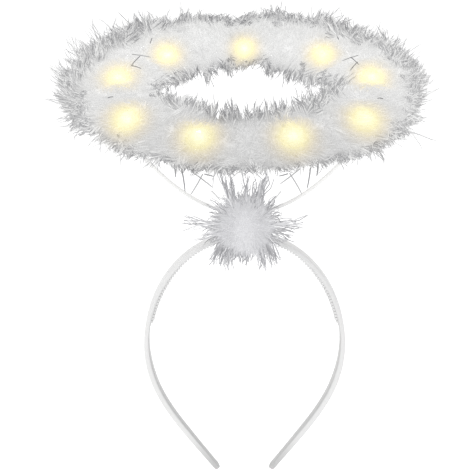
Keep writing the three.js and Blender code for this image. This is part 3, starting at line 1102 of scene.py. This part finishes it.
# Strands that stray: their share, turn and gain in length, and the longest of all
STRAY_SHARE = 0.07
STRAY_TURN = 0.05
STRAY_GAIN = 1.45
LONGEST_REACH = 2.2
# How closely the gain in length keeps to the left and right
SIDE_FOCUS = 5
# How soon the inner tufts rise and the outer ones droop towards the front
RISE_ONSET = 1.3
DROOP_ONSET = 1.5
# Quills and wisps: where they lie, half widths and how far they bow
QUILL_REACH = 1.3
WISP_AROUND = -0.45
WISP_REACH = 0.7
QUILL_WIDTH = 0.00034
WISP_WIDTH = 0.00045
BOW = 0.0006


def ring_matrix(ring):
    """The ring's place over the crown, with its lean."""
    return Matrix.Translation((0, 0, ring.centre)) @ Matrix.Rotation(ring.tilt, 4, "X")


def carry(points, matrix):
    """Moves an array of points by a matrix."""
    m = np.array(matrix)
    return points @ m[:3, :3].T + m[:3, 3]


def ring_swell(turn, around):
    """Factor of the down's soft swells."""
    along = turn + SWELL_START
    return 1 + sum(s.share * np.sin(s.waves * along + s.twist * around) for s in RING_SWELLS)


def ring_diagonal(turn):
    """1 midway between the ring's front or back and its sides, 0 at each of them."""
    return np.sin(2 * turn) ** 2


def ring_places(ring, turn, around, reach):
    """Places in the ring: turn along it, around its section, reach 0 at the core and 1 at the down's edge."""
    edge = np.where(np.cos(around) > 0, ring.outer_width, ring.inner_width)
    swell = ring_swell(turn, around)
    inwards = np.clip(-np.cos(around), 0, 1)
    half_width = blend(ring.core_width, edge, reach) * blend(1, swell, SIDE_SWELL)
    half_width = half_width + ring.pinch * ring_diagonal(turn) * inwards
    half_height = blend(ring.core_height, ring.down_height, reach) * (1 + ring.fullness * np.sin(turn))
    half_height = half_height * swell
    out = ring.radius + half_width * np.cos(around)
    places = np.stack((out * np.cos(turn), out * np.sin(turn), half_height * np.sin(around)), axis=-1)
    return carry(places, ring_matrix(ring))


def ring_glow(ring):
    """A function that gives each point its share of the nearest lamp's light."""
    lamps = np.array([(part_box(name)[0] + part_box(name)[1]) / 2 for name in LAMP_NODES])
    ahead = np.array((0, -math.cos(ring.glow_rise), math.sin(ring.glow_rise)))

    def beside(points, lamp):
        """Distance from the short line along which the lamp's light shows."""
        offset = points - lamp
        along = np.clip(offset @ ahead, 0, ring.glow_throw)
        return np.linalg.norm(offset - along[:, None] * ahead, axis=1)

    def glow(points):
        """Share of light, which reaches farther from the lamps in front."""
        reaches = ring.glow_reach * (1 - FRONT_GLOW * lamps[:, 1] / ring.radius)
        away = np.min([beside(points, lamp) / reach for lamp, reach in zip(lamps, reaches)], axis=0)
        return np.exp(-(away**2))

    return glow


class TuftField:
    """Tufts spread over the ring, each with its place, lean, length and tone."""

    # Shares of a cell, radians along the ring and round it, and tones
    SCATTER = 0.28
    LEAN = (0.035, 0.16)
    TONES = (-0.16, 0.16)

    def __init__(self, ring, random):
        shape = (ring.tufts_long, ring.tufts_round)
        self.shape = shape
        self.step = 2 * np.pi / np.array(shape)
        self.place = 0.5 + self.SCATTER * random.uniform(-1, 1, (*shape, 2))
        self.lean = random.normal(0, 1, (*shape, 2)) * self.LEAN
        self.length = mostly_short(random, shape, shortest=0.68, longer=0.62, skew=(1.4, 2.8))
        self.tone = random.uniform(*self.TONES, shape)

    def cells(self, turn, around):
        """Row and column of the tuft that each strand belongs to."""
        row = (turn / self.step[0]).astype(int) % self.shape[0]
        column = ((around / self.step[1]) + 0.5 * (row % 2)).astype(int) % self.shape[1]
        return row, column

    def tips(self, turn, around, gather):
        """Where the tips of strands with these roots go."""
        row, column = self.cells(turn, around)
        centre = self.place[row, column]
        own_turn = (row + centre[:, 0]) * self.step[0]
        own_around = (column + centre[:, 1] - 0.5 * (row % 2)) * self.step[1]
        across = (own_around - around + np.pi) % (2 * np.pi) - np.pi
        tip_turn = turn + gather * (own_turn - turn) + self.lean[row, column, 0]
        tip_around = around + gather * across + self.lean[row, column, 1]
        return tip_turn, tip_around, self.length[row, column], self.tone[row, column]


def ring_tone(turn):
    """Tone of the ring's body, with painted light and shade: greyest in front."""
    back = np.sin(turn)
    return BODY_TONE + BACK_PAINTED_LIGHT * back + SIDE_PAINTED_LIGHT * (1 - back**2)


def body_strands(ring, tufts, random, count):
    """Short soft strands that lie all over the ring, a little grey below with painted shade."""
    turn = random.uniform(0, 2 * np.pi, count)
    around = random.uniform(0, 2 * np.pi, count)
    gather = random.uniform(*BODY_GATHER, count)
    tip_turn, tip_around, tuft_length, tuft_tone = tufts.tips(turn, around, gather)
    tip_turn += random.normal(0, BODY_LEAN[0], count)
    tip_around += random.normal(0, BODY_LEAN[1], count)
    full = blend(TOP_REACH, SIDE_REACH - FRONT_REACH * np.sin(turn), np.cos(around) ** 2)
    own_length = mostly_short(random, count, shortest=0.5, longer=0.9, skew=(1.5, 3))
    reach = full * own_length * blend(1, tuft_length, TUFT_LENGTH_SHARE)
    root = ring_places(ring, turn, around, BODY_ROOT)
    middle = ring_places(ring, turn, around, 0.5 * reach)
    tip = ring_places(ring, tip_turn, tip_around, reach)
    lines = curved_lines(root, middle, tip, stations=3)
    # Painted shade: strands greyer on the underside
    under = smooth_step(*UNDERSIDE, -np.sin(around))
    tones = np.clip(ring_tone(turn) - UNDERSIDE_SHADE * under + TUFT_TONE_SHARE * tuft_tone, 0, 1)
    widths = uneven_widths(random, ring.strand_width, count, thickest=1.2)
    return even_strands(lines, widths, tones), turn


def rim_rise(ring, turn, inside):
    """How far the tips of tufts at these turns rise, for each share of their reach."""
    back = np.sin(turn)
    diagonal = ring_diagonal(turn)
    inner = ring.inner_lift * np.where(back < 0, np.clip(-RISE_ONSET * back, 0, 1), -back * diagonal)
    front = blend(ring.side_lift, -ring.droop, np.clip(-DROOP_ONSET * back, 0, 1))
    behind = ring.side_lift * (1 - back) + ring.back_lift * diagonal
    return np.where(inside, inner, np.where(back < 0, front, behind))


def rim_strands(ring, rim, random):
    """Long strands in pointed tufts along a belt of the ring, some of them stray."""
    owner = np.repeat(np.arange(rim.tufts), rim.strands)
    count = len(owner)
    own_turn = random.uniform(0, 2 * np.pi, rim.tufts)
    back = np.sin(own_turn)
    place = rim.middle + rim.sway * back + rim.side_rise * (1 - back**2)
    off_belt = np.clip(random.normal(0, 1, rim.tufts), -FARTHEST, FARTHEST)
    own_around = np.radians(place + rim.spread * off_belt)
    own_reach = rim.reach * (1 + rim.back_gain * back + rim.side_gain * (1 - back**2))
    points_right = math.cos(math.radians(rim.middle)) * np.cos(own_turn) ** SIDE_FOCUS
    own_reach *= 1 - ring.left_gain * points_right
    own_length = mostly_short(random, rim.tufts, shortest=0.6, longer=1.05, skew=(1.1, 3.0))
    own_length *= own_reach
    lean = random.normal(0, 1, (rim.tufts, 2)) * TUFT_LEAN
    off_turn, off_around = (random.normal(0, spread, count) for spread in STRAND_SPREAD)
    stray = random.uniform(0, 1, count) < STRAY_SHARE
    turn, around = own_turn[owner] + off_turn, own_around[owner] + off_around
    tip_turn = turn + lean[owner, 0] - GATHER * off_turn + random.normal(0, STRAY_TURN, count) * stray
    tip_around = around + lean[owner, 1] - GATHER * off_around
    reach = own_length[owner] * random.uniform(*RIM_LENGTHS, count) * np.where(stray, STRAY_GAIN, 1)
    reach = np.minimum(reach, LONGEST_REACH)
    root = ring_places(ring, turn, around, RIM_ROOT)
    middle = ring_places(ring, turn, around, MIDWAY * reach)
    tip = ring_places(ring, tip_turn, tip_around, reach)
    tip[:, 2] += rim_rise(ring, own_turn[owner], np.cos(around) < 0) * reach
    lines = wavy(curved_lines(root, middle, tip, RIM_STATIONS), random, RIM_WAVE)
    # Painted light and shade: rims' ends lighter at the sides and greyer at the back
    gain = SIDE_RIM_LIGHT - SIDE_RIM_LIGHT * back**2 - BACK_RIM_SHADE * np.clip(back, 0, 1)
    tip_tone = np.clip(split_tone(random, count, rim.darkest, rim.lightest) + gain[owner], 0, 1)
    # Painted shade: the strands grey from the body's tone towards their tips
    tones = fade(ring_tone(turn)[:, None], tip_tone, *RIM_SHADES_IN, RIM_STATIONS)
    widths = uneven_widths(random, ring.tuft_width, count, thickest=1.15)
    return Strands(lines, widths, tones), turn % (2 * np.pi)


def ring_quills(ring, quills):
    """Bare quills that lie on the down, left and right alike."""
    rows = []
    for quill in quills:
        ends = np.radians([(quill.turn, quill.around), (quill.turn_end, quill.around_end)])
        for turns in (ends[:, 0], np.pi - ends[:, 0]):
            rows.append(ring_places(ring, turns, ends[:, 1], QUILL_REACH))
    ends = np.array(rows)
    lines = curved_lines(ends[:, 0], ends.mean(axis=1) + (0, 0, BOW), ends[:, 1], stations=4)
    tones = np.repeat([quill.tone for quill in quills], 2)
    return even_strands(lines, np.full(len(lines), QUILL_WIDTH), tones)


def ring_wisps(ring):
    """Single strands under the front of the ring, left and right alike."""
    roots, tips = [], []
    for wisp in RING_WISPS:
        for hand in (-1, 1):
            turn = -np.pi / 2 + hand * wisp.side / (ring.radius + ring.core_width)
            rim = ring_places(ring, np.array([turn]), np.array([WISP_AROUND]), WISP_REACH)[0]
            roots.append((hand * wisp.side, rim[1], rim[2] - wisp.drop))
            tips.append((hand * wisp.side_end, rim[1], rim[2] - wisp.drop_end))
    roots, tips = np.array(roots), np.array(tips)
    lines = curved_lines(roots, (roots + tips) / 2 + (BOW, 0, 0), tips, stations=5)
    tones = np.repeat([wisp.tone for wisp in RING_WISPS], 2)
    return even_strands(lines, np.full(len(lines), WISP_WIDTH), tones)


def ring_core(ring, glow):
    """Dense soft core of the ring, with the swells of the down."""
    bm = bmesh.new()
    section = Matrix.Translation((ring.radius, 0, 0)) @ Matrix.Rotation(math.pi / 2, 4, "X")
    flat = section @ Matrix.Diagonal((ring.core_width, ring.core_height, 1, 1))
    bmesh.ops.create_circle(bm, cap_ends=False, segments=32, radius=1, matrix=flat)
    spin_round(bm, steps=180)

    def swell(points):
        x, y, z = points.T
        around = np.arctan2(z / ring.core_height, (np.hypot(x, y) - ring.radius) / ring.core_width)
        skin = SKIN_PLACE + SKIN_LUMPS * lumps(points, SKIN_SCALE)
        return ring_places(ring, np.arctan2(y, x), around, skin)

    move_points(bm, swell)
    mesh = to_mesh(bm, "ring_core")
    points = places_of(mesh.vertices)
    # Painted light and shade: the core's tone by its side of the ring
    store(mesh, "tone", ring_tone(np.arctan2(points[:, 1], points[:, 0])))
    store(mesh, "glow", glow(points))
    return mesh


class ANGEL_OT_ring_down(bpy.types.Operator):
    """Makes the ring of marabou down, with quills and hanging wisps"""

    bl_idname = "angel.ring_down"
    bl_label = "Ring of down"

    def execute(self, context):
        ring = context.scene.angel_ring
        random = np.random.default_rng(ring.seed)
        glow = ring_glow(ring)
        down = down_material("ring_down", ring, patch_scale=45.0)
        new_piece(ring_core(ring, glow), down, "halo_down", "halo_down")
        tufts = TuftField(ring, random)
        layers = [body_strands(ring, tufts, random, 4 * ring.body_strands)]
        layers += [rim_strands(ring, rim, random) for rim in RING_RIMS]
        for i, quarter in enumerate(QUARTERS):
            groups = [strands.pick((turn // (np.pi / 2)).astype(int) == i) for strands, turn in layers]
            mesh = strand_mesh(f"ring_down_{quarter}", groups, glow)
            new_piece(mesh, down, "halo_down", "halo_down")
        loose = strand_mesh("ring_quills", [ring_quills(ring, DARK_QUILLS), ring_wisps(ring)], glow)
        new_piece(loose, down, "halo_down", "halo_down")
        bare = strand_mesh("white_quills", [ring_quills(ring, WHITE_QUILLS)], glow)
        quill = plastic_material("white_quill", ring.quill, grain_scale=900.0, bump=0.1)
        new_piece(bare, quill, "halo_down", "halo_down")
        return {"FINISHED"}


# Puff of down

# How far inside the core short strands start, and how far back they may point
ROOT_DEPTH = 0.001
BACKMOST = 0.45
# Uneven spread of the tufts and of the strands' tips, and how the strands gather
SCATTER = 0.07
PUFF_GATHER = (0.2, 0.8)
# Lengths of tufts and of short strands, and tones of painted shade on the tips at the edge
TUFT_LENGTHS = (0.8, 1.2)
SHORT_LENGTHS = (0.4, 1.0)
EDGE_TIP_SHADES = (0.4, 1.0)
# Where the puff's edge begins and is full, seen from the front, and how that grows sideways and upwards;
# there painted shade greys the strands
EDGE = (0.25, 0.9)
EDGE_SIDE = 1.4
EDGE_RISE = 0.8
# Tones of the short strands in the middle and at their roots near the edge, where painted shade greys them,
# of long ones and of the core
MIDDLE_TONE = 0.95
EDGE_SHADE_TONE = 0.88
FAN_TONE = 0.9
CORE_TONE = 0.92
# The rim has one tuft for so many tufts of the puff
TUFTS_TO_RIM = 4
# The rim's tufts: spread of their strands as a share of their distance, gather, turn and lengths
RIM_SPREAD = 0.45
RIM_GATHER = 0.4
RIM_TURN = 0.14
RIM_TUFT_LENGTHS = (0.8, 1.12)
RIM_STRAND_LENGTHS = (0.75, 1.05)
PLUME_LENGTHS = (0.78, 1.02)
# Long strands: lean to the front, lightest painted shade of most, and shares of core, lean and reach on their
# way
FRONT_LEAN = -0.15
FAN_LIGHTEST_SHADE = 0.5
FAN_ROOT = 0.9
FAN_END_LEAN = 0.6
FAN_MIDDLE = 0.6
PLUME_END_SPREAD = 0.6
# Height of the core's lumps, as a share of its radius, and how many of them lie in a metre
LUMP_HEIGHT = 0.10
LUMP_SCALE = 150


def no_glow(points):
    return np.zeros(len(points))


def even_directions(count):
    """Directions spread evenly over a ball."""
    i = np.arange(count) + 0.5
    height = 1 - 2 * i / count
    flat = np.sqrt(1 - height**2)
    turn = np.pi * (1 + math.sqrt(5)) * i
    return np.column_stack((flat * np.cos(turn), height, flat * np.sin(turn)))


def puff_middle(puff):
    return np.array((0, -puff.front, puff.height))


def kept_in_front(lines, puff):
    """Strands with no point behind the puff's back."""
    lines[..., 1] = np.minimum(lines[..., 1], puff.back)
    return lines


def puff_strands(puff, random):
    """Short strands that stand out all round the puff, streaked with painted shade towards its rim."""
    directions = unit(random.normal(0, 1, (puff.strands * 2, 3)))
    directions = directions[directions[:, 1] < BACKMOST][: puff.strands]
    centres = even_directions(puff.tufts)
    centres = unit(centres + random.normal(0, SCATTER, centres.shape))
    nearest = np.argmax(directions @ centres.T, axis=1)
    count = len(directions)
    gather = random.uniform(*PUFF_GATHER, count)[:, None]
    tips = blend(directions, centres[nearest], gather)
    tips = unit(tips + random.normal(0, SCATTER, directions.shape))
    tuft_length = random.uniform(*TUFT_LENGTHS, puff.tufts)[nearest]
    edge = smooth_step(*EDGE, np.hypot(EDGE_SIDE * directions[:, 0], EDGE_RISE * directions[:, 2]))
    own_length = random.uniform(*SHORT_LENGTHS, count) * tuft_length
    reach = blend(puff.core_radius, puff.down_radius, own_length)
    middle = puff_middle(puff)
    root = middle + directions * (puff.core_radius - ROOT_DEPTH)
    half = middle + directions * blend(puff.core_radius, reach, MIDWAY)[:, None]
    lines = curved_lines(root, half, middle + tips * reach[:, None], stations=4)
    # Painted shade: strands greyer towards the puff's edge seen from the front
    tip_tone = blend(MIDDLE_TONE, random.uniform(*EDGE_TIP_SHADES, count), edge)
    root_tone = blend(MIDDLE_TONE, EDGE_SHADE_TONE, edge)
    tones = blend(root_tone[:, None], tip_tone[:, None], np.linspace(0, 1, lines.shape[1]))
    widths = uneven_widths(random, puff.strand_width, count, thickest=1.25)
    return Strands(kept_in_front(lines, puff), widths, tones)


def fan_strands(puff, random, fan, clock, clock_end, reach):
    """Wavy strands that fan out from the puff's core, each from one clock place to another."""
    count = len(clock)
    lean = random.normal(FRONT_LEAN, fan.lean, count)
    start = np.column_stack((np.cos(clock), lean, np.sin(clock)))
    end = np.column_stack((np.cos(clock_end), FAN_END_LEAN * lean, np.sin(clock_end)))
    middle = puff_middle(puff)
    root = middle + start * puff.core_radius * FAN_ROOT
    half = middle + unit(start + end) * (FAN_MIDDLE * reach)[:, None]
    lines = curved_lines(root, half, middle + end * reach[:, None], fan.stations)
    # Painted shade: the long strands grey towards their tips
    tip_tone = split_tone(random, count, fan.darkest, FAN_LIGHTEST_SHADE)
    tones = fade(FAN_TONE, tip_tone, fan.dark_from, fan.dark_to, fan.stations)
    widths = uneven_widths(random, puff.plume_width, count, thickest=1.15)
    return Strands(kept_in_front(wavy(lines, random, fan.wave), puff), widths, tones)


def puff_rim(puff, random):
    """Longer wavy strands in tufts round the puff's rim."""
    count = puff.rim_strands
    tuft = random.integers(0, puff.tufts // TUFTS_TO_RIM, count)
    step = 2 * np.pi * TUFTS_TO_RIM / puff.tufts
    clock = (tuft + random.normal(0, RIM_SPREAD, count)) * step
    turned = random.normal(0, RIM_TURN, puff.tufts)[tuft]
    tuft_reach = puff.rim_reach * random.uniform(*RIM_TUFT_LENGTHS, puff.tufts)[tuft]
    reach = tuft_reach * random.uniform(*RIM_STRAND_LENGTHS, count)
    clock_end = blend(clock, tuft * step, RIM_GATHER) + turned
    return fan_strands(puff, random, RIM_FAN, clock, clock_end, reach)


def puff_plumes(puff, random):
    """Bundles of long wavy strands, left and right alike."""
    strands = [plume.strands for plume in PUFF_PLUMES]
    start, end, far, spread, _ = np.repeat(np.array(PUFF_PLUMES), strands, axis=0).T
    count = len(start)
    groups = []
    for mirrored in (False, True):
        clock = np.radians(start + spread * random.normal(0, 1, count))
        clock_end = np.radians(end + PLUME_END_SPREAD * spread * random.normal(0, 1, count))
        if mirrored:
            clock, clock_end = np.pi - clock, np.pi - clock_end
        reach = far * random.uniform(*PLUME_LENGTHS, count)
        groups.append(fan_strands(puff, random, PLUME_FAN, clock, clock_end, reach))
    return groups


def puff_core(puff):
    """Dense soft middle of the puff, flat behind."""
    bm = bmesh.new()
    bmesh.ops.create_icosphere(bm, subdivisions=4, radius=puff.core_radius)

    def swell(points):
        uneven = points * (1 + LUMP_HEIGHT * lumps(points, LUMP_SCALE)[:, None])
        return kept_in_front(uneven + puff_middle(puff), puff)

    move_points(bm, swell)
    mesh = to_mesh(bm, "puff_core")
    store(mesh, "tone", np.full(len(mesh.vertices), CORE_TONE))
    store(mesh, "glow", no_glow(mesh.vertices))
    return mesh


class ANGEL_OT_puff(bpy.types.Operator):
    """Makes the puff of marabou down on the crown"""

    bl_idname = "angel.puff"
    bl_label = "Crown puff"

    def execute(self, context):
        puff = context.scene.angel_puff
        random = np.random.default_rng(puff.seed)
        down = down_material("puff_down", puff, patch_scale=90.0)
        new_piece(puff_core(puff), down, "puff_down", "crown_puff")
        groups = [puff_strands(puff, random), puff_rim(puff, random), *puff_plumes(puff, random)]
        new_piece(strand_mesh("puff_down", groups, no_glow), down, "puff_down", "crown_puff")
        return {"FINISHED"}


# Lamps


def lens_shape(lamp):
    """Lens with its rim, turned about its own axis from its outline."""
    bm = bmesh.new()
    dome = [
        (lamp.radius * math.cos(turn), lamp.wall + lamp.radius * math.sin(turn))
        for turn in np.linspace(0, math.pi / 2, num=9)
    ]
    rim = [(0, 0), (lamp.flange, 0), (lamp.flange, lamp.flange_height)]
    step = (lamp.radius, lamp.flange_height + lamp.flange_slope)
    points = [bm.verts.new((x, 0, z)) for x, z in (*rim, step, *dome)]
    for a, b in zip(points, points[1:]):
        bm.edges.new((a, b))
    spin_round(bm, steps=24)
    return bm


class ANGEL_OT_lamps(bpy.types.Operator):
    """Makes the lit lamps in the ring"""

    bl_idname = "angel.lamps"
    bl_label = "Lamps"

    def execute(self, context):
        lamp = context.scene.angel_lamp
        lens = lens_material(lamp)
        upright = Matrix.Rotation(lamp.tilt, 4, "X")
        half = upright @ Vector((0, 0, (lamp.wall + lamp.radius) / 2))
        for name in LAMP_NODES:
            low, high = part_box(name)
            bm = lens_shape(lamp)
            place = Matrix.Translation((low + high) / 2 - half) @ upright
            bmesh.ops.transform(bm, matrix=place, verts=bm.verts[:])
            new_piece(to_mesh(bm, name.replace("lamp", "lens")), lens, "lamp_lens", name)
        return {"FINISHED"}


# Stage


def aim(thing, place, target):
    """Puts a camera or light in the scene so that it looks at a point."""
    thing.location = place
    thing.rotation_euler = (Vector(target) - Vector(place)).to_track_quat("-Z", "Y").to_euler()
    bpy.context.scene.collection.objects.link(thing)


def soft_light(name, power, size, place, target):
    """Round light that casts soft shadows."""
    light = bpy.data.lights.new(name, "AREA")
    light.shape = "DISK"
    light.energy = power
    light.size = size
    aim(bpy.data.objects.new(name, light), place, target)


def new_camera(stage):
    """Camera that looks at the part from the front, a little from above."""
    lens = bpy.data.cameras.new("camera")
    lens.lens = stage.lens
    lens.clip_end = 50
    camera = bpy.data.objects.new("camera", lens)
    target = Vector((stage.side, 0, stage.height))
    back = Vector((0, -math.cos(stage.elevation), math.sin(stage.elevation)))
    aim(camera, target + back * stage.distance, target)
    return camera


def new_floor(stage):
    """Round pale floor under the part."""
    bm = bmesh.new()
    bmesh.ops.create_circle(bm, cap_ends=True, segments=96, radius=stage.floor_radius)
    bmesh.ops.translate(bm, verts=bm.verts[:], vec=(0, 0, BAND_LOW.z - stage.floor_drop))
    mesh = to_mesh(bm, "floor")
    mesh.materials.append(floor_material(stage))
    floor = bpy.data.objects.new("floor", mesh)
    bpy.context.scene.collection.objects.link(floor)


def white_room(stage):
    """World of even white light."""
    world = bpy.data.worlds.new("white_room")
    world.use_nodes = True
    room = world.node_tree.nodes["Background"]
    room.inputs["Color"].default_value = (1, 1, 1, 1)
    room.inputs["Strength"].default_value = stage.sky
    return world


class ANGEL_OT_stage(bpy.types.Operator):
    """Sets up the camera, the floor and the soft light"""

    bl_idname = "angel.stage"
    bl_label = "Stage"

    def execute(self, context):
        stage = context.scene.angel_stage
        context.scene.camera = new_camera(stage)
        new_floor(stage)
        context.scene.world = white_room(stage)
        soft_light("key_light", stage.key_power, size=0.9, place=(-0.9, -1.0, 1.1), target=(0, 0, 0.02))
        soft_light("top_light", stage.top_power, size=1.0, place=(0.15, 0.1, 1.4), target=(0, 0, 0))
        context.scene.view_settings.view_transform = "Standard"
        return {"FINISHED"}


class ANGEL_PT_headband(bpy.types.Panel):
    """Steps that dress the headband, in order"""

    bl_label = "Angel Headband"
    bl_idname = "ANGEL_PT_headband"
    bl_space_type = "VIEW_3D"
    bl_region_type = "UI"
    bl_category = "Angel Headband"

    def draw(self, context):
        for operator in OPERATORS:
            self.layout.operator(operator.bl_idname)


SETTINGS = {
    "angel_stage": StageSettings,
    "angel_band": BandSettings,
    "angel_wire": WireSettings,
    "angel_ring": RingSettings,
    "angel_puff": PuffSettings,
    "angel_lamp": LampSettings,
}
OPERATORS = (
    ANGEL_OT_stage,
    ANGEL_OT_headband,
    ANGEL_OT_bow_wire,
    ANGEL_OT_saddle,
    ANGEL_OT_ring_down,
    ANGEL_OT_puff,
    ANGEL_OT_lamps,
)


def register():
    for cls in (*SETTINGS.values(), *OPERATORS, ANGEL_PT_headband):
        bpy.utils.register_class(cls)
    for name, settings in SETTINGS.items():
        setattr(bpy.types.Scene, name, PointerProperty(type=settings))


def unregister():
    for name in SETTINGS:
        delattr(bpy.types.Scene, name)
    for cls in (ANGEL_PT_headband, *reversed(OPERATORS), *reversed(SETTINGS.values())):
        bpy.utils.unregister_class(cls)


def main():
    register()
    bpy.ops.angel.stage()
    bpy.ops.angel.headband()
    bpy.ops.angel.bow_wire()
    bpy.ops.angel.saddle()
    bpy.ops.angel.ring_down()
    bpy.ops.angel.puff()
    bpy.ops.angel.lamps()


if __name__ == "__main__":
    main()
